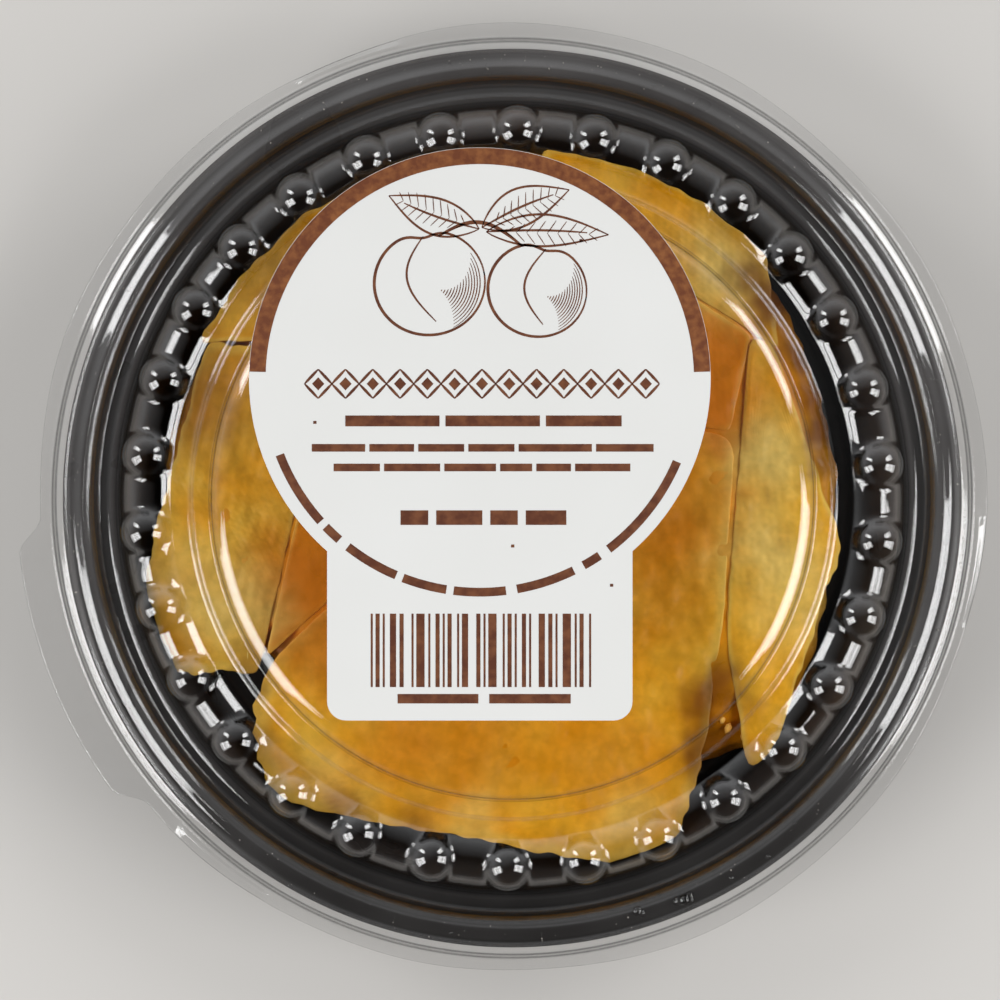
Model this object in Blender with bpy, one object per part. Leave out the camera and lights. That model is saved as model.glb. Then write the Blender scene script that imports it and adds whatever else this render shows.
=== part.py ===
"""Single-serve peach cobbler in a black round tray with a push-on clear lid and a paper label.

Sizes below are in millimetres and angles in degrees, anticlockwise from +X seen from above.
The tray's foot rests on z = 0 and its axis is the Z axis.
"""

import math

import bmesh
import bpy
import numpy as np

MM = 0.001
GAP = 0.35

# Tray
TRAY_WALL = 0.6
TRAY_FOOT_R = 49.4
TRAY_FLOOR_R = 50.2
TRAY_WALL_TOP_R = 55.5
TRAY_LEDGE_Z = 22.3
TRAY_LEDGE_OUT_R = 58.7
TRAY_RIM_Z = 25.0
TRAY_RIM_IN_R = 59.8
TRAY_RIM_OUT_R = 63.6
TRAY_RIM_DROP = 2.4
TRAY_SEGMENTS = 56

# Lid
LID_SHEET = 0.45
LIP_R = 67.2
LIP_Z = 20.6
SKIRT_FOOT_R = 65.5
SKIRT_TOP_R = 64.6
CHANNEL_Z = TRAY_RIM_Z + 0.9
CHANNEL_OUT_R = 63.2
CHANNEL_IN_R = 60.0
PLUG_Z = TRAY_LEDGE_Z + 0.8
PLUG_R = 57.8
SIDE_TOP_R = 54.5
SIDE_TOP_Z = 30.4
ARCH_R = 49.65
ARCH_Z = 30.0
ARCH_RADIUS = 4.7
BEADS = 30
BEAD_PITCH = 360.0 / BEADS
BEAD_FIRST = 5.25
BEAD_R = 51.0
BEAD_Z = 32.5
BEAD_RADIUS = 3.6
BEAD_HALF_WIDTH = 3.2
SHOULDER_HUB_R = 50.6
SHOULDER_HUB_Z = 32.0
TERRACE_Z = 33.5
TERRACE_OUT_R = 46.5
TERRACE_IN_R = 44.9
STEP_Z = 34.3
STEP_OUT_R = 44.3
STEP_IN_R = 42.0
CHAMFER_Z = 35.0
CHAMFER_R = 41.3
PANEL_Z = 35.9
PANEL_R = 39.2
LID_SEGMENTS = 48
PANEL_SEGMENTS = 48

# Pull tab and snap dimples on the lip
TAB_FROM = 182.5
TAB_TO = 220.0
TAB_SHOULDER = 4.0
TAB_REACH = 3.2
DIMPLE_ANGLES = (110.6, 231.5, 351.0)
DIMPLE_HALF_ANGLE = 7.4
DIMPLE_RISE = 0.55
DIMPLE_R = 66.3

# Label
LABEL_SHEET = 0.25
LABEL_CENTRE = (-4.5, 16.5)
LABEL_R = 31.75
LABEL_BLOCK_HALF_WIDTH = 21.0
LABEL_BLOCK_BOTTOM = -30.6
LABEL_CORNER_R = 2.6
LABEL_HUB_Y = 0.0
LABEL_SAG = 0.45
LABEL_POINTS = 64

# Food
FOOD_FLOOR_Z = TRAY_WALL + GAP
FILLING_TOP_Z = 14.2
FILLING_LUMPS = 0.4
FILLING_R = 50.4
FILLING_SEGMENTS = 54
FILLING_BAYS = ((214.0, 10.0, 8.5), (303.0, 7.0, 2.4), (257.0, 22.0, 2.6), (8.0, 36.0, 3.4))
PIECE_BASE_Z = 15.1
CRUST_CRAGS = 0.4
CRUST_TORN = 0.015
SLICE_CRAGS = 0.15
SLICE_TORN = 0.01
SLICE_RIM = 50.0
CORNER_POWER = 22.0
PIECE_POINTS = 34
SLICE_POINTS = 26


def clear_scene():
    for item in list(bpy.data.objects):
        bpy.data.objects.remove(item, do_unlink=True)


def make_material(name, colour, roughness, transmission=0.0):
    material = bpy.data.materials.new(name)
    material.use_nodes = True
    shader = material.node_tree.nodes["Principled BSDF"]
    shader.inputs["Base Color"].default_value = (*colour, 1.0)
    shader.inputs["Roughness"].default_value = roughness
    shader.inputs["Metallic"].default_value = 0.0
    shader.inputs["Transmission Weight"].default_value = transmission
    return material


def ring(angles, radius, height):
    """Points at the given angles; radius and height are numbers or one value per angle."""
    turn = np.radians(np.asarray(angles, dtype=float))
    radius = np.broadcast_to(np.asarray(radius, dtype=float), turn.shape)
    height = np.broadcast_to(np.asarray(height, dtype=float), turn.shape)
    points = np.column_stack([radius * np.cos(turn), radius * np.sin(turn), height])
    return np.asarray(angles, dtype=float), points


def zip_faces(angles_a, start_a, angles_b, start_b):
    """Triangles between two closed rings whose points are sorted by angle."""
    count_a = len(angles_a)
    count_b = len(angles_b)
    faces = []
    i = 0
    j = 0
    while i < count_a or j < count_b:
        next_a = angles_a[i + 1] if i + 1 < count_a else angles_a[0] + 360.0
        next_b = angles_b[j + 1] if j + 1 < count_b else angles_b[0] + 360.0
        here_a = start_a + i % count_a
        here_b = start_b + j % count_b
        if j >= count_b or (i < count_a and next_a <= next_b):
            faces.append((here_a, start_a + (i + 1) % count_a, here_b))
            i += 1
        else:
            faces.append((here_a, start_b + (j + 1) % count_b, here_b))
            j += 1
    return faces


def closed_object(name, rings, first_point, last_point, material):
    """One closed body from a stack of rings, with a point closing each end."""
    points = [np.asarray([first_point], dtype=float)]
    starts = []
    total = 1
    for _, ring_points in rings:
        starts.append(total)
        points.append(ring_points)
        total += len(ring_points)
    points.append(np.asarray([last_point], dtype=float))
    faces = []
    first_count = len(rings[0][0])
    for i in range(first_count):
        faces.append((0, starts[0] + i, starts[0] + (i + 1) % first_count))
    for k in range(len(rings) - 1):
        faces += zip_faces(rings[k][0], starts[k], rings[k + 1][0], starts[k + 1])
    last_count = len(rings[-1][0])
    for i in range(last_count):
        faces.append((total, starts[-1] + (i + 1) % last_count, starts[-1] + i))
    mesh = bpy.data.meshes.new(name)
    mesh.from_pydata((np.vstack(points) * MM).tolist(), [], faces)
    body = bmesh.new()
    body.from_mesh(mesh)
    bmesh.ops.recalc_face_normals(body, faces=body.faces[:])
    body.to_mesh(mesh)
    body.free()
    for polygon in mesh.polygons:
        polygon.use_smooth = True
    mesh.materials.append(material)
    item = bpy.data.objects.new(name, mesh)
    bpy.context.scene.collection.objects.link(item)
    return item


def smooth_step(value):
    value = np.clip(value, 0.0, 1.0)
    return value * value * (3.0 - 2.0 * value)


def angle_from(angles, centre):
    """Signed angle from centre, in -180 to 180."""
    return (np.asarray(angles, dtype=float) - centre + 180.0) % 360.0 - 180.0


def waves(x, y, size, seed):
    """Soft lumps from a few crossing waves, about -1 to 1."""
    dice = np.random.default_rng(seed)
    total = np.zeros(np.broadcast(x, y).shape)
    for _ in range(6):
        heading = dice.uniform(0.0, math.pi)
        length = size * dice.uniform(0.7, 1.5)
        phase = dice.uniform(0.0, 2.0 * math.pi)
        along = x * math.cos(heading) + y * math.sin(heading)
        total = total + np.sin(2.0 * math.pi * along / length + phase)
    return total / 3.2


# Tray: one profile turned about the axis, from the foot's centre round to the floor's centre

def tray_inner_r(z):
    """Inner radius of the tray's wall at height z."""
    low = 2.2
    share = (np.asarray(z, dtype=float) - low) / (TRAY_LEDGE_Z - 0.4 - low)
    return TRAY_FLOOR_R + (TRAY_WALL_TOP_R - TRAY_FLOOR_R) * np.clip(share, 0.0, 1.0)


def build_tray(material):
    angles = np.arange(TRAY_SEGMENTS) * 360.0 / TRAY_SEGMENTS
    under_rim = TRAY_RIM_Z - TRAY_WALL
    under_ledge = TRAY_LEDGE_Z - TRAY_WALL
    profile = [
        (TRAY_FOOT_R, 0.0),
        (TRAY_FOOT_R + 0.9, 0.4),
        (TRAY_FLOOR_R + TRAY_WALL, 2.1),
        (TRAY_WALL_TOP_R + TRAY_WALL, under_ledge - 0.4),
        (TRAY_WALL_TOP_R + TRAY_WALL + 0.4, under_ledge),
        (TRAY_LEDGE_OUT_R + 0.4, under_ledge),
        (TRAY_LEDGE_OUT_R + TRAY_WALL + 0.4, under_ledge + 0.5),
        (TRAY_RIM_IN_R + 0.3, under_rim),
        (TRAY_RIM_OUT_R - TRAY_WALL - 0.1, under_rim),
        (TRAY_RIM_OUT_R - TRAY_WALL, TRAY_RIM_Z - TRAY_RIM_DROP),
        (TRAY_RIM_OUT_R, TRAY_RIM_Z - TRAY_RIM_DROP),
        (TRAY_RIM_OUT_R - 0.1, TRAY_RIM_Z - 0.4),
        (TRAY_RIM_OUT_R - 0.5, TRAY_RIM_Z),
        (TRAY_RIM_IN_R, TRAY_RIM_Z),
        (TRAY_RIM_IN_R - 0.4, TRAY_RIM_Z - 0.5),
        (TRAY_LEDGE_OUT_R + 0.4, TRAY_LEDGE_Z + 0.4),
        (TRAY_LEDGE_OUT_R, TRAY_LEDGE_Z),
        (TRAY_WALL_TOP_R + 0.6, TRAY_LEDGE_Z),
        (TRAY_WALL_TOP_R, TRAY_LEDGE_Z - 0.4),
        (TRAY_FLOOR_R, 2.2),
        (TRAY_FLOOR_R - 0.9, TRAY_WALL + 0.3),
        (TRAY_FLOOR_R - 1.8, TRAY_WALL),
    ]
    rings = [ring(angles, r, z) for r, z in profile]
    return closed_object("tray", rings, (0, 0, 0), (0, 0, TRAY_WALL), material)


# Lid: rings from the panel's centre outwards over the top, round the lip and back underneath

def lip_angles():
    """Even angles, with closer ones at the tab's shoulders and the dimples' ends."""
    marks = []
    for side in (TAB_FROM, TAB_TO - TAB_SHOULDER):
        marks += [side, side + 0.5 * TAB_SHOULDER, side + TAB_SHOULDER]
    for centre in DIMPLE_ANGLES:
        for share in (-1.0, -0.8, 0.8, 1.0):
            marks.append((centre + share * DIMPLE_HALF_ANGLE) % 360.0)
    even = np.arange(LID_SEGMENTS) * 360.0 / LID_SEGMENTS
    kept = [a for a in even if min(abs(angle_from(a, m)) for m in marks) > 1.7]
    return np.array(sorted(kept + marks))


def tab_share(angles):
    """1 on the pull tab, 0 off it, with S-shaped shoulders."""
    middle = 0.5 * (TAB_FROM + TAB_TO)
    inside = 0.5 * (TAB_TO - TAB_FROM) - np.abs(angle_from(angles, middle))
    return smooth_step(inside / TAB_SHOULDER)


def dimple_share(angles):
    """1 along each snap dimple, 0 elsewhere."""
    total = np.zeros(len(angles))
    for centre in DIMPLE_ANGLES:
        inside = DIMPLE_HALF_ANGLE - np.abs(angle_from(angles, centre))
        total = np.maximum(total, smooth_step(inside / (0.2 * DIMPLE_HALF_ANGLE)))
    return total


def bead_angles():
    """Five angles a bead: its crown, its sides and its feet."""
    to_degrees = math.degrees(1.0 / BEAD_R)
    offsets = np.array([-1.0, -0.63, 0.0, 0.63, 1.0]) * BEAD_HALF_WIDTH * to_degrees
    centres = BEAD_FIRST + BEAD_PITCH * np.arange(BEADS)
    return (centres[:, None] + offsets[None, :]).ravel()


def reach_to_circle(climb, circle_r, circle_z, radius):
    """Distance from the shoulder's hub, at an angle up from outwards, to a circle in its section."""
    turn = math.radians(climb)
    off_r = SHOULDER_HUB_R - circle_r
    off_z = SHOULDER_HUB_Z - circle_z
    along = off_r * math.cos(turn) + off_z * math.sin(turn)
    inside = along**2 - off_r**2 - off_z**2 + np.asarray(radius) ** 2
    return np.sqrt(np.clip(inside, 0.0, None)) - along


def shoulder_ring(angles, climb, sheet):
    """One ring over the lid's shoulder: a plain arch with a ball standing out of it at each bead."""
    offset = (angles - BEAD_FIRST + 0.5 * BEAD_PITCH) % BEAD_PITCH - 0.5 * BEAD_PITCH
    beside = np.radians(offset) * BEAD_R
    ball = np.sqrt(np.clip(BEAD_RADIUS**2 - beside**2, 0.0, None))
    arch_reach = reach_to_circle(climb, ARCH_R, ARCH_Z, ARCH_RADIUS)
    reach = np.maximum(arch_reach, reach_to_circle(climb, BEAD_R, BEAD_Z, ball)) - sheet
    turn = math.radians(climb)
    radius = SHOULDER_HUB_R + reach * math.cos(turn)
    return ring(angles, radius, SHOULDER_HUB_Z + reach * math.sin(turn))


def build_lid(material):
    even = np.arange(PANEL_SEGMENTS) * 360.0 / PANEL_SEGMENTS
    lip = lip_angles()
    bead = bead_angles()
    tab = tab_share(lip)
    dimple = DIMPLE_RISE * dimple_share(lip)
    top = [
        (PANEL_R, PANEL_Z),
        (CHAMFER_R, CHAMFER_Z),
        (STEP_IN_R, STEP_Z),
        (STEP_OUT_R, STEP_Z),
        (TERRACE_IN_R, TERRACE_Z),
        (TERRACE_OUT_R, TERRACE_Z),
    ]
    rings = [ring(even, r, z) for r, z in top]
    rings += [shoulder_ring(bead, climb, 0.0) for climb in (148, 124, 100, 76, 50, 22, -5)]
    outside = [
        (SIDE_TOP_R, SIDE_TOP_Z),
        (PLUG_R - 0.6, PLUG_Z + 0.3),
        (PLUG_R, PLUG_Z),
        (PLUG_R + 0.5, PLUG_Z + 0.2),
        (CHANNEL_IN_R - 1.0, CHANNEL_Z - 0.5),
        (CHANNEL_IN_R, CHANNEL_Z),
        (CHANNEL_OUT_R, CHANNEL_Z),
        (CHANNEL_OUT_R + 0.8, CHANNEL_Z - 0.15),
        (SKIRT_TOP_R, CHANNEL_Z - 0.9),
        (SKIRT_FOOT_R, LIP_Z + LID_SHEET),
    ]
    rings += [ring(lip, r, z) for r, z in outside]
    rings.append(ring(lip, DIMPLE_R + 0.5 * TAB_REACH * tab, LIP_Z + LID_SHEET + dimple))
    rings.append(ring(lip, LIP_R + TAB_REACH * tab, LIP_Z + LID_SHEET))
    rings.append(ring(lip, LIP_R + TAB_REACH * tab, LIP_Z))
    rings.append(ring(lip, DIMPLE_R + 0.5 * TAB_REACH * tab, LIP_Z + dimple))
    inside = [
        (SKIRT_FOOT_R - 0.35, LIP_Z),
        (SKIRT_TOP_R - LID_SHEET - 0.05, CHANNEL_Z - 1.2),
        (CHANNEL_OUT_R + 0.25, CHANNEL_Z - LID_SHEET),
        (CHANNEL_IN_R - 0.1, CHANNEL_Z - LID_SHEET),
        (CHANNEL_IN_R - 0.65, CHANNEL_Z - 0.95),
        (PLUG_R + 0.95, PLUG_Z - 0.15),
        (PLUG_R + 0.6, PLUG_Z - LID_SHEET),
        (PLUG_R - 0.8, PLUG_Z - LID_SHEET),
        (PLUG_R - 1.2, PLUG_Z - 0.1),
        (SIDE_TOP_R - LID_SHEET, SIDE_TOP_Z - 0.3),
    ]
    rings += [ring(lip, r, z) for r, z in inside]
    rings += [shoulder_ring(bead, climb, 0.5) for climb in (-5, 35, 75, 110, 148)]
    below = [
        (TERRACE_OUT_R + 0.15, TERRACE_Z - LID_SHEET),
        (TERRACE_IN_R - 0.1, TERRACE_Z - LID_SHEET),
        (STEP_OUT_R - 0.15, STEP_Z - LID_SHEET),
        (STEP_IN_R - 0.1, STEP_Z - LID_SHEET),
        (CHAMFER_R - 0.25, CHAMFER_Z - LID_SHEET),
        (PANEL_R - 0.1, PANEL_Z - LID_SHEET),
    ]
    rings += [ring(even, r, z) for r, z in below]
    return closed_object("lid", rings, (0, 0, PANEL_Z), (0, 0, PANEL_Z - LID_SHEET), material)


# Label: a disc joined to a rounded block below it, one thin sheet

def label_outline():
    """Outline as (x, y) points: the disc's arc, then the block's sides and round corners."""
    half = LABEL_BLOCK_HALF_WIDTH
    neck = math.degrees(math.asin(half / LABEL_R))
    arc_count = int(LABEL_POINTS * 0.7)
    arc = np.radians(np.linspace(-90.0 + neck, 270.0 - neck, arc_count))
    x = LABEL_R * np.cos(arc)
    y = LABEL_CENTRE[1] + LABEL_R * np.sin(arc)
    points = list(zip(x, y))
    neck_y = points[-1][1]
    inner_y = LABEL_BLOCK_BOTTOM + LABEL_CORNER_R
    for share in (0.33, 0.66, 1.0):
        points.append((-half, neck_y + share * (inner_y - neck_y)))
    for side in (-1.0, 1.0):
        for k in range(1, 4):
            turn = math.radians(30.0 * k if side < 0 else 90.0 - 30.0 * k)
            points.append(
                (
                    side * (half - LABEL_CORNER_R + LABEL_CORNER_R * math.cos(turn)),
                    inner_y - LABEL_CORNER_R * math.sin(turn),
                )
            )
        if side < 0:
            for share in (0.25, 0.5, 0.75, 1.0):
                points.append(((2.0 * share - 1.0) * (half - LABEL_CORNER_R), LABEL_BLOCK_BOTTOM))
    for share in (0.33, 0.66):
        points.append((half, inner_y + share * (neck_y - inner_y)))
    return np.array(points)


def label_height(points):
    """Underside of the label over the lid: flat on the panel, sagging slightly past its edge."""
    r = np.hypot(points[:, 0], points[:, 1])
    share = np.clip((r - PANEL_R) / (BEAD_R - PANEL_R - 2.4), 0.0, 1.0)
    return PANEL_Z + GAP - LABEL_SAG * share


def build_label(material):
    outline = label_outline()
    outline[:, 0] += LABEL_CENTRE[0]
    hub = np.array([LABEL_CENTRE[0], LABEL_HUB_Y])
    turns = np.degrees(np.arctan2(outline[:, 1] - hub[1], outline[:, 0] - hub[0])) % 360.0
    order = np.argsort(turns)
    turns = turns[order]
    outline = outline[order]
    rings = []
    for share, lift in ((0.72, 0.0), (1.0, 0.0), (1.0, LABEL_SHEET), (0.72, LABEL_SHEET)):
        flat = hub + share * (outline - hub)
        rings.append((turns, np.column_stack([flat, label_height(flat) + lift])))
    low = (hub[0], hub[1], PANEL_Z + GAP)
    high = (hub[0], hub[1], PANEL_Z + GAP + LABEL_SHEET)
    return closed_object("label", rings, low, high, material)


# Food

def keep_in_tray(points):
    """Pull points inside the tray's wall by the gap."""
    r = np.hypot(points[:, 0], points[:, 1])
    limit = tray_inner_r(points[:, 2]) - GAP
    points[:, :2] *= np.minimum(1.0, limit / np.maximum(r, 1e-6))[:, None]
    return points


def filling_reach(angles):
    """Outer radius of the filling: uneven, with two bays where the tray shows."""
    turn = np.radians(angles)
    reach = FILLING_R - 0.9 + 0.9 * waves(40.0 * np.cos(turn), 40.0 * np.sin(turn), 26.0, 11)
    for centre, width, depth in FILLING_BAYS:
        reach = reach - depth * np.exp(-((angle_from(angles, centre) / width) ** 2))
    return reach


def build_filling(material):
    angles = np.arange(FILLING_SEGMENTS) * 360.0 / FILLING_SEGMENTS
    reach = filling_reach(angles)
    top = FILLING_TOP_Z
    steps = (
        (0.955, FOOD_FLOOR_Z),
        (0.985, 2.6),
        (1.0, 0.85 * top),
        (0.975, 0.975 * top),
        (0.82, top),
        (0.58, top),
        (0.3, top),
    )
    rings = []
    for k, (share, z) in enumerate(steps):
        _, points = ring(angles, share * reach, z)
        if k >= 4:
            points[:, 2] += FILLING_LUMPS * waves(points[:, 0], points[:, 1], 13.0, 5)
        rings.append((angles, keep_in_tray(points)))
    return closed_object("filling", rings, (0, 0, FOOD_FLOOR_Z), (0, 0, top), material)


def piece_reach(angles, centre, edges, rim):
    """Distance from centre to the nearest of the straight edges and the rim circle, rounded."""
    turn = np.radians(angles)
    heading = np.column_stack([np.cos(turn), np.sin(turn)])
    along = heading @ np.asarray(centre)
    squared = along * along - centre[0] ** 2 - centre[1] ** 2 + rim * rim
    spans = [-along + np.sqrt(squared)]
    for angle, distance in edges:
        normal = np.array([math.cos(math.radians(angle)), math.sin(math.radians(angle))])
        facing = heading @ normal
        room = distance - float(normal @ np.asarray(centre))
        spans.append(np.where(facing > 1e-4, room / np.maximum(facing, 1e-4), 1e6))
    spans = np.array(spans)
    return np.sum(spans**-CORNER_POWER, axis=0) ** (-1.0 / CORNER_POWER)


def build_piece(name, centre, edges, rim, height, crags, torn, count, seed, material):
    """A piece of crust or peach resting on the filling; height is its middle thickness.

    Each step up its side and in over its top is a share of its reach less an inset, a share of
    its height and a share of its relief.
    """
    angles = np.arange(count) * 360.0 / count
    reach = piece_reach(angles, centre, edges, rim)
    turn = np.radians(angles)
    bite = 0.5 + 0.5 * waves(12.0 * np.cos(turn), 12.0 * np.sin(turn), 7.0, seed)
    reach = reach * (1.0 - torn * np.clip(bite, 0.0, 1.0))
    steps = (
        (1.0, 0.9, 0.0, 0.0),
        (1.0, 0.2, 0.25, 0.0),
        (1.0, 0.0, 0.65, 0.2),
        (1.0, 0.5, 0.9, 0.6),
        (0.93, 1.0, 0.98, 1.0),
        (0.48, 0.0, 1.0, 1.0),
    )
    rings = []
    for share, inset, rise, rough in steps:
        _, points = ring(angles, share * reach - inset, PIECE_BASE_Z + rise * height)
        points[:, 0] += centre[0]
        points[:, 1] += centre[1]
        lumps = waves(points[:, 0], points[:, 1], 9.0, seed + 1)
        lumps = 0.6 * lumps + 0.4 * waves(points[:, 0], points[:, 1], 4.5, seed + 2)
        points[:, 2] += rough * crags * lumps
        rings.append((angles, keep_in_tray(points)))
    low = (centre[0], centre[1], PIECE_BASE_Z)
    high = (centre[0], centre[1], PIECE_BASE_Z + height)
    return closed_object(name, rings, low, high, material)


def main():
    clear_scene()
    black = make_material("tray_black", (0.02, 0.019, 0.019), 0.2)
    clear = make_material("lid_clear", (0.93, 0.95, 0.96), 0.05, 0.95)
    paper = make_material("label_paper", (0.86, 0.86, 0.84), 0.6)
    syrup = make_material("filling_syrup", (0.26, 0.1, 0.015), 0.3)
    golden = make_material("crust_golden", (0.47, 0.23, 0.05), 0.55)
    amber = make_material("peach_amber", (0.4, 0.14, 0.01), 0.3)

    build_tray(black)
    build_lid(clear)
    build_label(paper)
    build_filling(syrup)

    crusts = (
        (
            "crust_left",
            (-42.0, -2.0),
            ((-12.8, -29.8), (271.0, 24.4), (92.0, 23.4), (165.0, 48.2)),
            54.2,
            2.7,
            21,
        ),
        ("crust_upper_left", (-24.0, 34.0), ((272.0, -23.8), (0.0, -7.0)), 50.0, 2.3, 31),
        (
            "crust_bottom",
            (8.0, -24.0),
            ((180.0, 37.4), (132.5, 6.5), (80.0, 14.4), (-4.5, 31.6), (-13.0, 35.0), (258.0, 48.2)),
            54.5,
            3.0,
            41,
        ),
        (
            "crust_right",
            (40.0, -6.0),
            ((175.5, -32.0), (190.5, -26.2), (75.0, 31.0), (18.4, 42.6), (-18.0, 47.0)),
            52.0,
            3.2,
            51,
        ),
        ("crust_upper_right", (24.0, 39.0), ((237.0, -38.6), (180.0, -4.0), (8.0, 41.0)), 50.2, 2.8, 61),
    )
    for name, centre, edges, rim, height, seed in crusts:
        build_piece(
            name, centre, edges, rim, height, CRUST_CRAGS, CRUST_TORN, PIECE_POINTS, seed, golden
        )

    slices = (
        ("peach_right", (24.0, 20.5), ((260.0, -14.8), (57.0, 38.2), (-12.0, 28.6), (180.0, -9.0)), 2.5, 71),
        ("peach_left", (-24.0, -3.0), ((167.2, 29.4), (312.5, -6.9), (0.0, -13.0), (90.0, 9.0)), 2.3, 81),
    )
    for name, centre, edges, height, seed in slices:
        build_piece(
            name, centre, edges, SLICE_RIM, height, SLICE_CRAGS, SLICE_TORN, SLICE_POINTS, seed, amber
        )


main()
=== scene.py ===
"""Looks of a single-serve peach cobbler: black tray, clear beaded lid and paper label.

Sizes are in millimetres and angles in degrees, anticlockwise from +X seen from above, as in the
part's source. Each mesh is turned into metres when it is made.
"""

import math

import bmesh
import bpy
import mathutils
import numpy as np
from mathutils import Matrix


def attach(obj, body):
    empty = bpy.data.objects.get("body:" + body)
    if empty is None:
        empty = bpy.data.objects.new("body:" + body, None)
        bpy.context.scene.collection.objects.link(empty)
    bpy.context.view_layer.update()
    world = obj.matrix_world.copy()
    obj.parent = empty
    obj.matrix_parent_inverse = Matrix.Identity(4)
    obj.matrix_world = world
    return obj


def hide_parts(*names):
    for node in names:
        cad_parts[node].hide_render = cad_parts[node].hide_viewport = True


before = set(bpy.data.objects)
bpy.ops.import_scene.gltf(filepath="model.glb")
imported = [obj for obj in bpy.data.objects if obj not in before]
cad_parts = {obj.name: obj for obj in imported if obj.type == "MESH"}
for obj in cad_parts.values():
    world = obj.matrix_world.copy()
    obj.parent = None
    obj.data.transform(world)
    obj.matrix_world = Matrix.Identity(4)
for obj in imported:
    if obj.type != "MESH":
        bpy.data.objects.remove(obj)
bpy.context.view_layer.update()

MM = 0.001
GAP = 0.35

# Tray
TRAY_WALL = 0.6
TRAY_FOOT_R = 49.4
TRAY_FLOOR_R = 50.2
TRAY_WALL_TOP_R = 55.5
TRAY_LEDGE_Z = 22.3
TRAY_LEDGE_OUT_R = 58.7
TRAY_RIM_Z = 25.0
TRAY_RIM_IN_R = 59.8
TRAY_RIM_OUT_R = 63.6
TRAY_RIM_DROP = 2.4

# Lid
LID_SHEET = 0.42
LIP_R = 67.2
LIP_Z = 20.6
SKIRT_FOOT_R = 65.5
SKIRT_TOP_R = 64.6
SKIRT_END_R = 65.9
CHANNEL_Z = TRAY_RIM_Z + 0.9
CHANNEL_OUT_R = 63.2
PLUG_Z = TRAY_LEDGE_Z + 0.8
PLUG_R = 57.8
SIDE_TOP_R = 54.5
SIDE_TOP_Z = 30.4
ARCH_R = 50.1
ARCH_Z = 30.0
ARCH_RADIUS = 4.45
BEADS = 30
BEAD_PITCH = 360.0 / BEADS
BEAD_FIRST = 5.25
BEAD_R = 51.0
BEAD_Z = 32.5
BEAD_RADIUS = 3.66
SHOULDER_HUB_R = 50.6
SHOULDER_HUB_Z = 32.0
TERRACE_Z = 33.5
TERRACE_OUT_R = 47.2
TERRACE_IN_R = 44.9
STEP_Z = 34.3
STEP_OUT_R = 44.3
STEP_IN_R = 42.0
PANEL_Z = 35.9
PANEL_R = 39.2
LID_TURNS = 1200
LID_COARSE = 3
BEAD_BLEND = 0.35

# Pull tab and snap dimples on the lip
TAB_FROM = 182.5
TAB_TO = 220.0
TAB_SHOULDER = 4.0
TAB_REACH = 3.2
DIMPLE_ANGLES = (110.6, 231.5, 351.0)
DIMPLE_HALF_ANGLE = 7.4
DIMPLE_RISE = 0.55
DIMPLE_R = 66.3

# Label and its print
LABEL_SHEET = 0.25
LABEL_CENTRE = (-4.5, 16.5)
LABEL_R = 31.75
LABEL_BLOCK_HALF_WIDTH = 21.0
LABEL_BLOCK_BOTTOM = -30.6
LABEL_CORNER_R = 2.6
LABEL_HUB_Y = 0.0
LABEL_SAG = 0.45
PRINT_LIFT = 0.02

# Food
FOOD_FLOOR_Z = TRAY_WALL + GAP
FILLING_TOP_Z = 14.2
FILLING_LUMPS = 0.4
SYRUP_RISE = 3.45
FILLING_R = 50.4
FILLING_BAYS = ((214.0, 10.0, 8.5), (303.0, 7.0, 2.4), (257.0, 22.0, 2.6), (8.0, 36.0, 1.7))
PIECE_BASE_Z = 15.1
CRUST_CRAGS = 0.32
CRUST_TORN = 0.015
SLICE_CRAGS = 0.15
SLICE_TORN = 0.01
CORNER_POWER = 22.0
PIECE_SPREAD = 0.22

# How the lid changes what lies under it: light added, and the share of light that comes back
LID_VEIL = 0.011
LIGHT_BACK = 0.46
GLANCING_SHARE = 0.26
WHITE = (1.0, 1.0, 1.0, 1.0)

# Camera and lights
CAMERA_ABOVE_LABEL = 450.0
SEEN_WIDTH = 137.7
AXIS_AT = (0.0125, 0.002)

# Floor, and how far the lamps are, in metres
FLOOR_HALF = 3000.0
FLOOR_DROP = 0.05
LAMP_AWAY = 0.65


def smooth_step(value):
    """3v^2 - 2v^3, held at 0 below 0 and at 1 above 1."""
    value = np.clip(value, 0.0, 1.0)
    return value * value * (3.0 - 2.0 * value)


def angle_from(angles, centre):
    """Signed angle from centre, in -180 to 180."""
    return (np.asarray(angles, dtype=float) - centre + 180.0) % 360.0 - 180.0


def even_angles(count):
    """Angles of even steps round a circle, from 0."""
    return np.arange(count) * 360.0 / count


def on_circle(radius, turn, middle=(0.0, 0.0)):
    """x and y of a point on a circle: the middle plus r cos t and r sin t, with t in radians."""
    return middle[0] + radius * np.cos(turn), middle[1] + radius * np.sin(turn)


def waves(x, y, size, seed):
    """Soft lumps, about -1 to 1: the sum of six plane sine waves of seeded heading and length."""
    dice = np.random.default_rng(seed)
    total = np.zeros(np.broadcast(x, y).shape)
    for _ in range(6):
        heading = dice.uniform(0.0, math.pi)
        length = size * dice.uniform(0.7, 1.5)
        phase = dice.uniform(0.0, 2.0 * math.pi)
        along = x * math.cos(heading) + y * math.sin(heading)
        total = total + np.sin(2.0 * math.pi * along / length + phase)
    return total / 3.2


def tone(red, green, blue):
    """Linear colour of a screen colour given in 0 to 255."""
    screen = np.array([red, green, blue]) / 255.0
    linear = np.where(screen <= 0.04045, screen / 12.92, ((screen + 0.055) / 1.055) ** 2.4)
    return (*linear.tolist(), 1.0)


# Meshes

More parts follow.
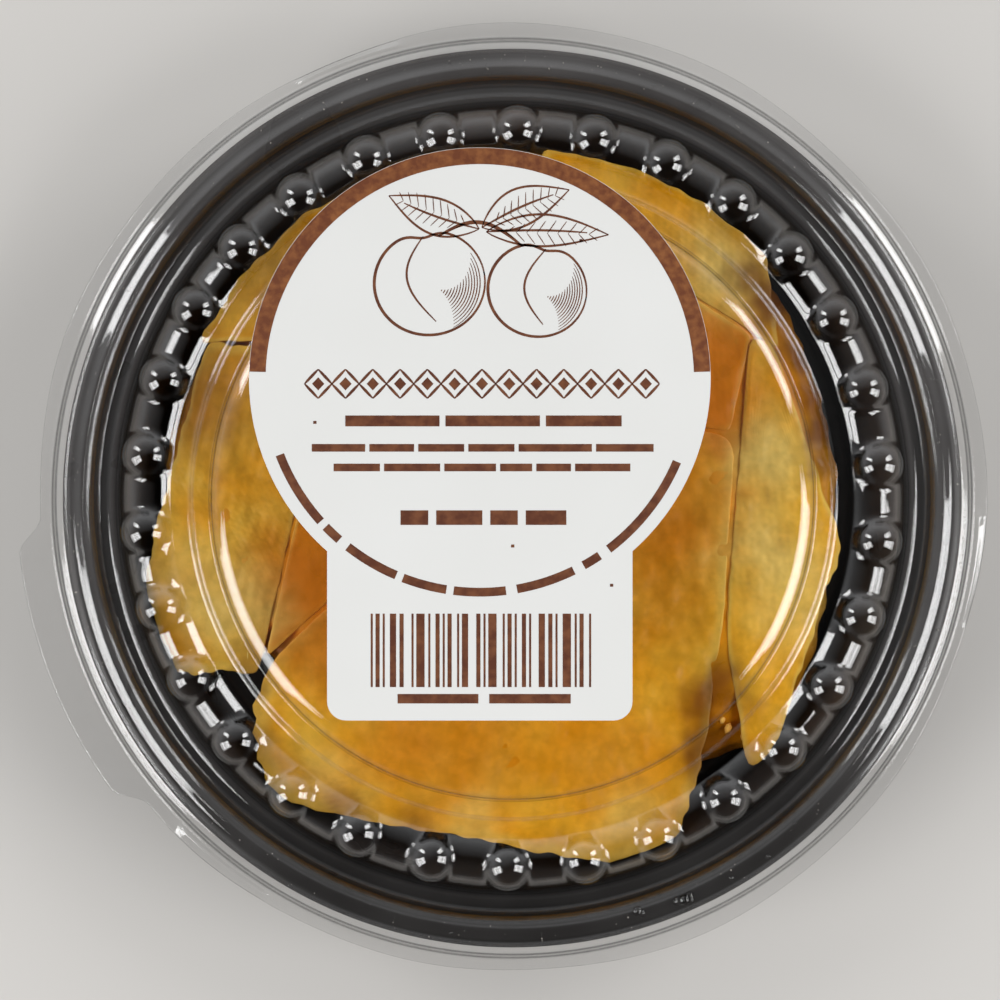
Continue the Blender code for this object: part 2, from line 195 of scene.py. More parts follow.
def add_piece(name, points, faces, smooth=True):
    """A mesh object of these points in millimetres, with its faces turned outwards."""
    mesh = bpy.data.meshes.new(name)
    mesh.from_pydata((points * MM).tolist(), [], faces)
    body = bmesh.new()
    body.from_mesh(mesh)
    bmesh.ops.recalc_face_normals(body, faces=body.faces[:])
    body.to_mesh(mesh)
    body.free()
    mesh.polygons.foreach_set("use_smooth", np.full(len(mesh.polygons), smooth))
    mesh.update()
    item = bpy.data.objects.new(name, mesh)
    bpy.context.scene.collection.objects.link(item)
    return item


def band_faces(rows, columns, start=0, closed=True):
    """Quads between neighbouring rows of a grid stored row by row."""
    row = np.arange(rows - 1)[:, None]
    column = np.arange(columns if closed else columns - 1)[None, :]
    beside = (column + 1) % columns
    corners = [row * columns + column, row * columns + beside]
    corners += [(row + 1) * columns + beside, (row + 1) * columns + column]
    quads = np.stack(np.broadcast_arrays(*corners), axis=-1).reshape(-1, 4) + start
    return quads.tolist()


def fan(ring, corner):
    """Triangles from each side of a closed ring to one corner, all given by point numbers."""
    return np.column_stack([np.roll(ring, -1), ring, np.full(len(ring), corner)])


def closed_stack(name, rings, low, high):
    """A closed body from rings stacked along its skin.

    rings is an array (ring, point, xyz); the first ring closes on the point low and the last
    on the point high, each by a fan of triangles.
    """
    count, around, _ = rings.shape
    points = np.vstack([rings.reshape(-1, 3), [low], [high]])
    faces = band_faces(count, around)
    here = np.arange(around)
    faces += fan(here, count * around).tolist()
    faces += fan((count - 1) * around + here, count * around + 1)[:, ::-1].tolist()
    return add_piece(name, points, faces)


def set_share(item, name, values):
    """A point attribute that a material reads."""
    layer = item.data.attributes.new(name, "FLOAT", "POINT")
    layer.data.foreach_set("value", np.asarray(values, dtype=np.float32))


def set_tints(item):
    """Shares of amber, pale and brown over the food, each the union of soft round patches.

    A patch is exp(-(d / radius)^2.6) times its strength, with d the distance on the XY plane from
    its middle after the point has been shifted about by soft waves. The brown_and_shade share is
    partly the crust's own browning and partly painted shade: its patches in the gaps and bays,
    and a rise towards the tray's wall.
    """
    count = len(item.data.vertices)
    flat = np.zeros(3 * count)
    item.data.vertices.foreach_get("co", flat)
    x, y, _ = flat.reshape(-1, 3).T / MM
    side = x + 1.6 * waves(x, y, 11.0, 91) + 0.5 * waves(x, y, 3.5, 92)
    ahead = y + 1.6 * waves(x, y, 11.0, 93) + 0.5 * waves(x, y, 3.5, 94)
    # Painted shade: brown_and_shade grows by up to 0.3 towards the tray's wall, darkening the food
    # there
    rim = smooth_step((np.hypot(side, ahead) - 46.5) / 5.5)
    for name, patches in TINTS.items():
        clear = 1.0 - 0.3 * rim * (name == "brown_and_shade")
        for place_x, place_y, radius, strength in patches:
            away = np.hypot(side - place_x, ahead - place_y) / radius
            clear = clear * (1.0 - strength * np.exp(-(away**2.6)))
        set_share(item, name, 1.0 - clear)


def turned(radius, height, angles):
    """Rings of a turned body: the profile (radius, height) carried round the axis."""
    turn = np.radians(angles)[None, :]
    radius = radius[:, None]
    height = height[:, None] + 0.0 * turn
    return np.stack([radius * np.cos(turn), radius * np.sin(turn), height], axis=-1)


def curve(start, corner, end, steps):
    """Points and headings on the curve (1-t)^2 start + 2t(1-t) corner + t^2 end."""
    share = np.linspace(0.0, 1.0, steps)[:, None]
    start, corner, end = (np.asarray(place, dtype=float) for place in (start, corner, end))
    place = (1.0 - share) ** 2 * start + 2.0 * share * (1.0 - share) * corner + share**2 * end
    heading = (1.0 - share) * (corner - start) + share * (end - corner)
    return np.hstack([place, heading])


def rounded_profile(corners, radius, steps=5):
    """Profile through the corners, each cut back and replaced by a quadratic curve.

    At a corner B between A and C the curve runs from B + c(A-B) to B + c(C-B), with the cut
    no longer than radius or 0.45 of the shorter side.
    """
    corners = np.asarray(corners, dtype=float)
    pieces = [corners[:1]]
    for before, here, after in zip(corners[:-2], corners[1:-1], corners[2:]):
        back = before - here
        on = after - here
        cut = min(radius, 0.45 * np.hypot(*back), 0.45 * np.hypot(*on))
        start = here + back / np.hypot(*back) * cut
        end = here + on / np.hypot(*on) * cut
        pieces.append(curve(start, here, end, steps)[:, :2])
    pieces.append(corners[-1:])
    return np.vstack(pieces)


# Tray

def tray_inner_r(z):
    """Inner radius of the tray's wall at height z: a straight slope up to the ledge."""
    low = 2.2
    share = (np.asarray(z, dtype=float) - low) / (TRAY_LEDGE_Z - 0.4 - low)
    return TRAY_FLOOR_R + (TRAY_WALL_TOP_R - TRAY_FLOOR_R) * np.clip(share, 0.0, 1.0)


def make_tray():
    """The tray's rounded section turned about the axis, foot to rim and back to the floor."""
    under_rim = TRAY_RIM_Z - TRAY_WALL
    under_ledge = TRAY_LEDGE_Z - TRAY_WALL
    corners = [
        (TRAY_FOOT_R - 3.0, 0.0),
        (TRAY_FLOOR_R + 0.1, 0.0),
        (TRAY_WALL_TOP_R + TRAY_WALL, under_ledge),
        (TRAY_LEDGE_OUT_R + TRAY_WALL + 0.2, under_ledge),
        (TRAY_RIM_IN_R + 0.3, under_rim),
        (TRAY_RIM_OUT_R - TRAY_WALL, under_rim),
        (TRAY_RIM_OUT_R - TRAY_WALL, TRAY_RIM_Z - TRAY_RIM_DROP),
        (TRAY_RIM_OUT_R, TRAY_RIM_Z - TRAY_RIM_DROP),
        (TRAY_RIM_OUT_R - 0.1, TRAY_RIM_Z - 0.5),
        (TRAY_RIM_OUT_R - 1.0, TRAY_RIM_Z),
        (TRAY_RIM_IN_R + 0.9, TRAY_RIM_Z),
        (TRAY_RIM_IN_R - 0.2, TRAY_RIM_Z - 0.5),
        (TRAY_LEDGE_OUT_R + 0.3, TRAY_LEDGE_Z),
        (TRAY_WALL_TOP_R + 0.2, TRAY_LEDGE_Z),
        (TRAY_FLOOR_R - 0.3, TRAY_WALL),
        (TRAY_FLOOR_R - 4.0, TRAY_WALL),
    ]
    profile = rounded_profile(corners, 0.7, 6)
    rings = turned(profile[:, 0], profile[:, 1], even_angles(240))
    return closed_stack("tray_shell", rings, (0, 0, 0), (0, 0, TRAY_WALL))


# Lid

def tab_share(angles):
    """1 on the pull tab, 0 off it, with S-shaped shoulders."""
    middle = 0.5 * (TAB_FROM + TAB_TO)
    inside = 0.5 * (TAB_TO - TAB_FROM) - np.abs(angle_from(angles, middle))
    return smooth_step(inside / TAB_SHOULDER)


def dimple_share(angles):
    """1 along each snap dimple, 0 elsewhere."""
    off = np.abs(angle_from(angles[:, None], np.array(DIMPLE_ANGLES)[None, :]))
    share = smooth_step((DIMPLE_HALF_ANGLE - off) / (0.2 * DIMPLE_HALF_ANGLE))
    return share.max(axis=1)


def reach_to_circle(climb, circle_r, circle_z, radius):
    """Distance from the shoulder's hub to the far side of a circle in its section.

    With o from the circle's middle to the hub and b the part of o along the heading, it is
    sqrt(b^2 - |o|^2 + radius^2) - b. The heading climbs by that angle from outwards.
    """
    turn = math.radians(climb)
    off_r = SHOULDER_HUB_R - circle_r
    off_z = SHOULDER_HUB_Z - circle_z
    along = off_r * math.cos(turn) + off_z * math.sin(turn)
    inside = along**2 - off_r**2 - off_z**2 + np.asarray(radius) ** 2
    return np.sqrt(np.clip(inside, 0.0, None)) - along


def lid_section(angles):
    """The lid's outer skin: points and headings as arrays (step, angle, r and z), and two flags.

    Straight runs and curved corners lead from the panel out to the shoulder and from there down
    to the lip. The shoulder is a plain arch or, where it stands further out, the ball of a bead,
    with the larger reach blended as half of a + b + sqrt((a - b)^2 + blend^2). The flags say
    which steps are on the shoulder and which are kept for the inner skin. The places in each
    curve are radius and height.
    """
    offset = (angles - BEAD_FIRST + 0.5 * BEAD_PITCH) % BEAD_PITCH - 0.5 * BEAD_PITCH
    beside = np.radians(offset) * BEAD_R
    ball = np.sqrt(np.clip(BEAD_RADIUS**2 - beside**2, 0.0, None))
    tab = tab_share(angles)
    dimple = DIMPLE_RISE * dimple_share(angles)
    turn = np.radians(angles)
    uneven = 0.22 * np.sin(5.0 * turn + 0.6) + 0.14 * np.sin(11.0 * turn + 2.1)
    inside = [
        curve((2.0, PANEL_Z), (20.0, PANEL_Z), (PANEL_R - 0.1, PANEL_Z), 3),
        curve((PANEL_R, PANEL_Z), (41.2, PANEL_Z - 0.1), (41.95, STEP_Z + 0.15), 9),
        curve((41.98, STEP_Z + 0.1), (STEP_IN_R, STEP_Z), (42.4, STEP_Z), 4),
        curve((43.95, STEP_Z), (STEP_OUT_R, STEP_Z), (44.5, STEP_Z - 0.27), 5),
        curve((44.7, TERRACE_Z + 0.27), (TERRACE_IN_R, TERRACE_Z), (45.3, TERRACE_Z), 4),
        curve((45.8, TERRACE_Z), (46.1, TERRACE_Z), (TERRACE_OUT_R - 0.05, TERRACE_Z), 2),
    ]
    crown = []
    climbs = np.linspace(154.0, -5.0, 23)
    for climb in climbs:
        arch_reach = reach_to_circle(climb, ARCH_R, ARCH_Z, ARCH_RADIUS)
        ball_reach = reach_to_circle(climb, BEAD_R, BEAD_Z, ball)
        blend = np.sqrt((arch_reach - ball_reach) ** 2 + BEAD_BLEND**2)
        reach = 0.5 * (arch_reach + ball_reach + blend)
        bend = math.radians(climb)
        radius = SHOULDER_HUB_R + reach * math.cos(bend)
        crown.append(np.column_stack([radius, SHOULDER_HUB_Z + reach * math.sin(bend)]))
    crown = np.array(crown)
    groove_z = PLUG_Z - 0.05
    valley_z = CHANNEL_Z - 0.25
    lip_z = LIP_Z + LID_SHEET
    outside = [
        curve((SIDE_TOP_R, SIDE_TOP_Z), (SIDE_TOP_R + 0.4, 28.4), (55.7, 25.8), 3),
        curve((55.9, 25.0), (56.4, groove_z), (PLUG_R - 0.2, groove_z), 7),
        curve((PLUG_R + 0.3, groove_z), (58.6, groove_z), (58.75, 23.7), 6),
        curve((59.0, 24.9), (59.3, CHANNEL_Z - 0.15), (60.2, CHANNEL_Z), 5),
        curve((60.35, CHANNEL_Z + 0.07), (60.7, CHANNEL_Z + 0.22), (61.0, CHANNEL_Z + 0.1), 4),
        curve((61.6, CHANNEL_Z - 0.13), (61.9, valley_z), (62.2, valley_z), 4),
        curve((62.5, valley_z), (62.8, valley_z), (62.95, CHANNEL_Z - 0.05), 3),
        curve((63.0, CHANNEL_Z), (CHANNEL_OUT_R, CHANNEL_Z + 0.15), (63.7, CHANNEL_Z - 0.05), 5),
        curve((64.0, CHANNEL_Z - 0.15), (64.6, CHANNEL_Z - 0.35), (SKIRT_TOP_R + 0.15, 24.9), 5),
        curve((65.3, 21.9), (SKIRT_FOOT_R, lip_z), (SKIRT_END_R, lip_z), 4),
    ]
    reach = DIMPLE_R + 0.5 * TAB_REACH * tab
    edge = LIP_R + (TAB_REACH - 0.1) * tab + uneven * (1.0 - tab)
    height = lip_z + dimple + 0.15 * tab
    brim = []
    for share in (0.2, 0.6, 1.0):
        rise = smooth_step(share) * (height - lip_z)
        brim.append(np.column_stack([SKIRT_END_R + share * (reach - SKIRT_END_R), lip_z + rise]))
    for share in (0.33, 0.67, 1.0):
        drop = smooth_step(share) * (lip_z + 0.3 * tab - height)
        brim.append(np.column_stack([reach + share * (edge - reach), height + drop]))
    brim = np.array(brim)
    points, headings, shoulder, kept = [], [], [], []
    for group in (inside, crown, outside, brim):
        if isinstance(group, list):
            for piece in group:
                wide = np.repeat(piece[:, None, :], len(angles), axis=1)
                points.append(wide[..., :2])
                headings.append(wide[..., 2:])
                step = np.arange(len(piece))
                kept += ((step == 0) | (step == len(step) // 2) | (step == step[-1])).tolist()
                shoulder += [False] * len(step)
        else:
            points.append(group)
            headings.append(np.gradient(group, axis=0))
            kept += (np.arange(len(group)) % 2 == 0).tolist()
            shoulder += [group is crown] * len(group)
    return np.concatenate(points), np.concatenate(headings), shoulder, kept


def ring_join(start, count, next_start, next_count):
    """Triangles between two closed rings, one with a whole multiple of the other's points."""
    if count > next_count:
        flipped = ring_join(next_start, next_count, start, count)
        return [face[::-1] for face in flipped]
    ratio = next_count // count
    here = np.arange(count)
    beside = (here + 1) % count
    middle = (ratio + 1) // 2
    faces = []
    for k in range(ratio):
        fine = next_start + here * ratio + k
        finer = next_start + (here * ratio + k + 1) % next_count
        corner = here if k < middle else beside
        faces.append(np.column_stack([start + corner, finer, fine]))
    turn_over = next_start + (here * ratio + middle) % next_count
    faces.append(np.column_stack([start + here, start + beside, turn_over]))
    return np.vstack(faces).tolist()


def make_lid():
    """The lid's outer skin, its inner skin one sheet further in, and a half-round edge at the lip.

    Rings on the shoulder keep all their points and the others every third. The shading follows
    the section's own headings, so that flat runs stay flat up to their corners.
    """
    angles = even_angles(LID_TURNS)
    section, heading, shoulder, kept = lid_section(angles)
    section = 0.7 * section + 0.15 * (np.roll(section, 1, axis=1) + np.roll(section, -1, axis=1))
    turn = np.radians(angles)[None, :]
    spoke = np.stack([np.cos(turn), np.sin(turn), 0.0 * turn], axis=-1)
    up = np.array([0.0, 0.0, 1.0])
    outer = section[..., :1] * spoke + section[..., 1:] * up
    down = heading[..., :1] * spoke + heading[..., 1:] * up
    normal = np.cross(down, np.roll(outer, -1, axis=1) - np.roll(outer, 1, axis=1))
    normal /= np.linalg.norm(normal, axis=-1, keepdims=True)
    inner = outer - LID_SHEET * normal
    last = len(outer) - 1
    skin = [(outer[k], normal[k], shoulder[k]) for k in range(last + 1)]
    for bend in (30.0, 60.0, 90.0, 120.0, 150.0):
        way = math.cos(math.radians(bend)) * normal[-1] + math.sin(math.radians(bend)) * spoke[0]
        middle = 0.5 * (outer[-1] + inner[-1])
        skin.append((middle + 0.5 * LID_SHEET * way, way, False))
    for k in range(last, -1, -1):
        if kept[k] or k == last:
            skin.append((inner[k], -normal[k], shoulder[k]))
    strides = [1 if fine else LID_COARSE for _, _, fine in skin]
    rings = [ring[::stride] for (ring, _, _), stride in zip(skin, strides)]
    ways = [way[::stride] for (_, way, _), stride in zip(skin, strides)]
    starts = np.cumsum([0] + [len(ring) for ring in rings]).tolist()
    faces = []
    for k in range(len(rings) - 1):
        count = len(rings[k])
        if count == len(rings[k + 1]):
            faces += band_faces(2, count, starts[k])
        else:
            faces += ring_join(starts[k], count, starts[k + 1], len(rings[k + 1]))
    for k, corner, way in ((0, starts[-1], 1), (len(rings) - 1, starts[-1] + 1, -1)):
        here = starts[k] + np.arange(len(rings[k]))
        faces += fan(here, corner)[:, ::way].tolist()
    poles = [(0.0, 0.0, PANEL_Z), (0.0, 0.0, PANEL_Z - LID_SHEET)]
    item = add_piece("lid_shell", np.vstack(rings + [poles]), faces)
    item.data.normals_split_custom_set_from_vertices(np.vstack(ways + [[up, -up]]).tolist())
    return item


# Label

def label_sag(x, y):
    """How far the label lies below the panel's level: 0 on the panel, then a straight slope."""
    share = np.clip((np.hypot(x, y) - PANEL_R) / (BEAD_R - PANEL_R - 2.4), 0.0, 1.0)
    return LABEL_SAG * share


def label_outline():
    """The label's outline: the disc's arc, then the block's sides, foot and rounded corners."""
    half = LABEL_BLOCK_HALF_WIDTH
    neck = math.asin(half / LABEL_R)
    arc = np.linspace(neck - 0.5 * math.pi, 1.5 * math.pi - neck, 150)
    disc = np.column_stack(on_circle(LABEL_R, arc, (0.0, LABEL_CENTRE[1])))
    inner_y = LABEL_BLOCK_BOTTOM + LABEL_CORNER_R
    bend = np.linspace(0.0, 0.5 * math.pi, 9)
    side = np.linspace(disc[-1, 1], inner_y, 16)[1:-1]
    corner = np.column_stack([np.cos(bend), -np.sin(bend)]) * LABEL_CORNER_R
    left = corner * (-1, 1) + (LABEL_CORNER_R - half, inner_y)
    right = corner[::-1] + (half - LABEL_CORNER_R, inner_y)
    foot = np.linspace(LABEL_CORNER_R - half, half - LABEL_CORNER_R, 20)[1:-1]
    parts = [
        disc,
        np.column_stack([np.full_like(side, -half), side]),
        left,
        np.column_stack([foot, np.full_like(foot, LABEL_BLOCK_BOTTOM)]),
        right,
        np.column_stack([np.full_like(side, half), side[::-1]]),
    ]
    outline = np.vstack(parts)
    outline[:, 0] += LABEL_CENTRE[0]
    return outline


def make_label():
    """A sheet made of copies of the outline shrunk towards a hub, underside then top side."""
    outline = label_outline()
    hub = np.array([LABEL_CENTRE[0], LABEL_HUB_Y])
    steps = np.linspace(0.1, 1.0, 14)
    shares = np.concatenate([steps, steps[::-1]])
    lifts = np.repeat([0.0, LABEL_SHEET], len(steps))
    flat = hub + shares[:, None, None] * (outline - hub)[None]
    height = PANEL_Z + GAP - label_sag(flat[..., 0], flat[..., 1]) + lifts[:, None]
    rings = np.concatenate([flat, height[..., None]], axis=-1)
    low = (*hub, PANEL_Z + GAP)
    high = (*hub, PANEL_Z + GAP + LABEL_SHEET)
    item = closed_stack("label_sheet", rings, low, high)
    item.data.shade_flat()
    return item


# Print on the label, each shape a strip of quads just above the paper

def strip(left, right):
    """A flat strip between two rows of (x, y) points."""
    return np.stack([np.asarray(left, dtype=float), np.asarray(right, dtype=float)])


def bar(x0, y0, x1, y1, steps=2):
    """An upright rectangle from (x0, y0) to (x1, y1)."""
    along = np.linspace(x0, x1, steps)
    return strip(
        np.column_stack([along, np.full(steps, y0)]), np.column_stack([along, np.full(steps, y1)])
    )


def arc_bar(centre, inner, outer, start, end, steps):
    """Part of a ring between two radii, from the angle start to the angle end."""
    turn = np.radians(np.linspace(start, end, steps))
    sides = [np.column_stack(on_circle(radius, turn, centre)) for radius in (inner, outer)]
    return strip(*sides)


def stroke(path, width):
    """A pen line along path: points pushed to both sides by half the width, thinner at its ends."""
    path = np.asarray(path, dtype=float)
    ahead = np.gradient(path, axis=0)
    side = np.column_stack([-ahead[:, 1], ahead[:, 0]])
    side /= np.maximum(np.linalg.norm(side, axis=1, keepdims=True), 1e-9)
    reach = np.sin(np.linspace(0.12, math.pi - 0.12, len(path))) ** 0.4
    push = 0.5 * width * reach[:, None] * side
    return strip(path + push, path - push)


def make_print(name, strips):
    """One flat mesh of all the strips, lifted to lie on the label."""
    points = []
    faces = []
    start = 0
    for piece in strips:
        count = piece.shape[1]
        points.append(piece.reshape(-1, 2))
        faces += band_faces(2, count, start, closed=False)
        start += 2 * count
    flat = np.vstack(points)
    height = PANEL_Z + GAP + LABEL_SHEET + PRINT_LIFT - label_sag(flat[:, 0], flat[:, 1])
    item = add_piece(name, np.column_stack([flat, height]), faces, smooth=False)
    faces_up = np.zeros(len(item.data.polygons) * 3)
    item.data.polygons.foreach_get("normal", faces_up)
    if faces_up[2::3].mean() < 0.0:
        item.data.flip_normals()
    return item


def fruit_curve(centre, size, lean):
    """A peach's outline: a circle of that size, flattened a little, with a dip at the stalk."""
    turn = np.linspace(0.0, 2.0 * math.pi, 90)
    dip = 0.13 * np.exp(-((angle_from(np.degrees(turn), 90.0) / 17.0) ** 2))
    reach = size * (1.0 - dip + 0.03 * np.cos(2.0 * turn))
    tilt = turn + math.radians(lean)
    return np.column_stack(on_circle(reach, tilt, centre))


def leaf_curves(root, tip, belly):
    """A leaf's two edges, arched by half a sine either side of its midrib, and the midrib."""
    root = np.asarray(root, dtype=float)
    rib = np.asarray(tip, dtype=float) - root
    side = np.array([-rib[1], rib[0]]) / np.hypot(*rib)
    share = np.linspace(0.0, 1.0, 24)[:, None]
    spine = root + share * rib + 0.18 * belly * np.sin(math.pi * share) * side
    arch = belly * np.sin(math.pi * share**0.85) * side
    return [spine + arch, spine - arch, spine[:20]]


def fruit_strips():
    """Pen drawing of two peaches on a leafy twig, shaded with curved hatching."""
    strips = []
    for centre, size, lean in (((-11.4, 29.6), 7.4, 8.0), ((3.4, 28.6), 6.6, -12.0)):
        centre = np.array(centre)
        outline = fruit_curve(centre, size, lean)
        strips.append(stroke(np.vstack([outline, outline[:2]]), 0.42))
        stalk = math.radians(90.0 + lean)
        top = np.array(on_circle(0.87 * size, stalk, centre))
        share = np.linspace(0.0, 1.0, 30)[:, None]
        low = centre + np.array([0.12, -0.72]) * size
        bulge = np.array([-0.42, 0.0]) * size * np.sin(math.pi * share)
        strips.append(stroke((1.0 - share) * top + share * low + bulge, 0.3))
        for k in range(15):
            bend = np.radians(np.linspace(-62.0 + 2.0 * k, 36.0 - 5.0 * k, 16))
            reach = size * (0.94 - 0.052 * k)
            strips.append(stroke(np.column_stack(on_circle(reach, bend, centre)), 0.15))
    leaves = (
        ((-4.6, 37.0), (-17.0, 41.6), 2.5),
        ((-4.2, 37.2), (7.8, 42.4), 2.6),
        ((-3.6, 36.6), (13.2, 36.2), 2.2),
    )
    for root, tip, belly in leaves:
        for line in leaf_curves(root, tip, belly):
            strips.append(stroke(line, 0.32))
        rib = np.asarray(tip) - np.asarray(root)
        side = np.array([-rib[1], rib[0]]) / np.hypot(*rib)
        for share in np.linspace(0.16, 0.84, 9):
            start = np.asarray(root) + share * rib
            reach = 0.8 * belly * math.sin(math.pi * share)
            for way in (-1.0, 1.0):
                vein = np.array([start, start + 0.07 * rib + way * reach * side])
                strips.append(stroke(np.linspace(vein[0], vein[1], 6), 0.13))
    share = np.linspace(0.0, 1.0, 20)[:, None]
    twig = (1.0 - share) * np.array([-10.2, 36.0]) + share * np.array([1.4, 34.6])
    twig = twig + np.array([0.0, 2.6]) * np.sin(math.pi * share)
    strips.append(stroke(twig, 0.55))
    return strips


def word_bars(x0, x1, y, height, words, seed):
    """Plain bars with small gaps that fill a line of print from x0 to x1."""
    dice = np.random.default_rng(seed)
    weights = dice.uniform(0.6, 1.5, words)
    gap = 0.55 * height
    widths = weights / weights.sum() * (x1 - x0 - gap * (words - 1))
    starts = x0 + np.concatenate([[0.0], np.cumsum(widths[:-1] + gap)])
    return [bar(a, y - 0.5 * height, a + w, y + 0.5 * height) for a, w in zip(starts, widths)]


def diamond_row(x0, x1, y, half, count):
    """A row of touching diamonds drawn in pen lines, with a solid one inside each."""
    strips = []
    reach = 0.5 * (x1 - x0) / count
    for k in range(count):
        middle = x0 + (2 * k + 1) * reach
        loop = [(-reach, 0.0), (0.0, half), (reach, 0.0), (0.0, -half), (-reach, 0.0)]
        loop = np.array(loop) + (middle, y)
        for a, b in zip(loop[:-1], loop[1:]):
            strips.append(stroke(np.linspace(a, b, 5), 0.4))
        top = np.array([(-0.45 * reach, 0.0), (0.0, 0.45 * half), (0.45 * reach, 0.0)])
        strips.append(strip(top + (middle, y), top * (1, -1) + (middle, y)))
    return strips


def stripe_block(x0, x1, y0, y1):
    """Upright stripes of four even widths in a repeating order."""
    strips = []
    widths = (1, 2, 1, 3, 2, 1, 4, 1, 2)
    gaps = (1, 1, 2, 1, 3, 1, 1, 2)
    unit = 0.33
    x = x0
    k = 0
    while x + widths[k % len(widths)] * unit < x1:
        width = widths[k % len(widths)] * unit
        strips.append(bar(x, y0, x + 0.86 * width, y1))
        x += width + gaps[k % len(gaps)] * unit
        k += 1
    return strips


# Start and end angles of the curved line's dashes, seen from the label's middle
DASHES = (
    ((201, 222), (224, 229), (232, 247), (249, 261))
    + ((263, 277), (280, 296), (299, 304), (307, 337))
)
# Lines of word bars: from, to, height of the line's middle, bar height, number of bars, seed
WORD_LINES = (
    (-23.0, 15.0, 10.6, 1.5, 3, 5),
    (-27.6, 19.4, 6.9, 1.05, 6, 6),
    (-24.6, 16.2, 4.2, 1.05, 6, 7),
    (-15.4, 7.4, -2.7, 2.0, 4, 8),
    (-15.8, -4.7, -27.6, 1.3, 1, 9),
    (-3.2, 8.0, -27.6, 1.3, 1, 9),
)


def make_prints():
    """Brown band, fruit drawing, ornament, word bars, curved line and stripes."""
    centre = np.array(LABEL_CENTRE)
    band = [arc_bar(centre, LABEL_R - 2.3, LABEL_R - 0.05, 1.6, 178.4, 120)]
    lines = fruit_strips()
    lines += diamond_row(-28.6, 20.2, 15.7, 2.0, 13)
    for words in WORD_LINES:
        lines += word_bars(*words)
    for start, end in DASHES:
        lines.append(arc_bar(centre, LABEL_R - 2.9, LABEL_R - 1.7, start, end, 14))
    lines += stripe_block(-19.5, 11.6, -26.0, -15.9)
    for x, y in ((9.2, 35.2), (-0.2, -6.8), (-27.4, 10.2), (13.4, -12.2)):
        lines.append(bar(x, y, x + 0.45, y + 0.4))
    return make_print("label_band", band), make_print("label_lines", lines)


# Food

def keep_in_tray(points):
    """Points pulled towards the axis until they clear the tray's wall by the gap."""
    r = np.hypot(points[..., 0], points[..., 1])
    limit = tray_inner_r(points[..., 2]) - GAP
    pull = np.minimum(1.0, limit / np.maximum(r, 1e-6))
    return points * np.stack([pull, pull, np.ones_like(pull)], axis=-1)


def make_filling():
    """Rings from the tray's floor up an uneven side and in over a lumpy top."""
    angles = even_angles(260)
    turn = np.radians(angles)
    reach = FILLING_R - 0.9 + 0.9 * waves(*on_circle(40.0, turn), 26.0, 11)
    for centre, width, depth in FILLING_BAYS:
        reach = reach - depth * np.exp(-((angle_from(angles, centre) / width) ** 2))
    reach = reach + 0.35 * waves(*on_circle(50.0, turn), 5.0, 12) - 0.2
    top = FILLING_TOP_Z
    knots = np.arange(8.0)
    step = np.concatenate([np.linspace(0.0, 3.0, 16)[:-1], np.linspace(3.0, 7.0, 90)])
    share = np.interp(step, knots, (0.955, 0.985, 1.0, 0.975, 0.82, 0.58, 0.3, 0.04))
    climb = (FOOD_FLOOR_Z, 2.6, 0.85 * top, 0.975 * top, top, top, top, top)
    height = np.interp(step, knots, climb)
    rough = smooth_step((step - 2.2) / 1.5)[:, None]
    radius = share[:, None] * reach[None, :]
    x, y = on_circle(radius, turn)
    lumps = FILLING_LUMPS * waves(x, y, 13.0, 5)
    lumps = lumps + 0.16 * waves(x, y, 3.6, 6) + 0.06 * waves(x, y, 1.6, 7)
    syrup = SYRUP_RISE * smooth_step((step - 3.0) / 0.9)[:, None]
    z = height[:, None] + rough * lumps * (1.0 - 0.2 * syrup) + syrup
    rings = keep_in_tray(np.stack([x, y, z], axis=-1))
    item = closed_stack("filling_body", rings, (0, 0, FOOD_FLOOR_Z), tuple(rings[-1].mean(axis=0)))
    set_tints(item)
    return item


def piece_reach(angles, centre, edges, rim):
    """Distance from centre to the nearest of the straight edges and the rim circle, rounded.

    The distances to all of them along each heading join by a power mean, which rounds corners.
    """
    turn = np.radians(angles)
    heading = np.column_stack(on_circle(1.0, turn))
    along = heading @ np.asarray(centre)
    squared = along * along - centre[0] ** 2 - centre[1] ** 2 + rim * rim
    spans = [-along + np.sqrt(squared)]
    for angle, distance in edges:
        normal = np.array(on_circle(1.0, math.radians(angle)))
        facing = heading @ normal
        room = distance - float(normal @ np.asarray(centre))
        spans.append(np.where(facing > 1e-4, room / np.maximum(facing, 1e-4), 1e6))
    spans = np.array(spans)
    return np.sum(spans**-CORNER_POWER, axis=0) ** (-1.0 / CORNER_POWER)


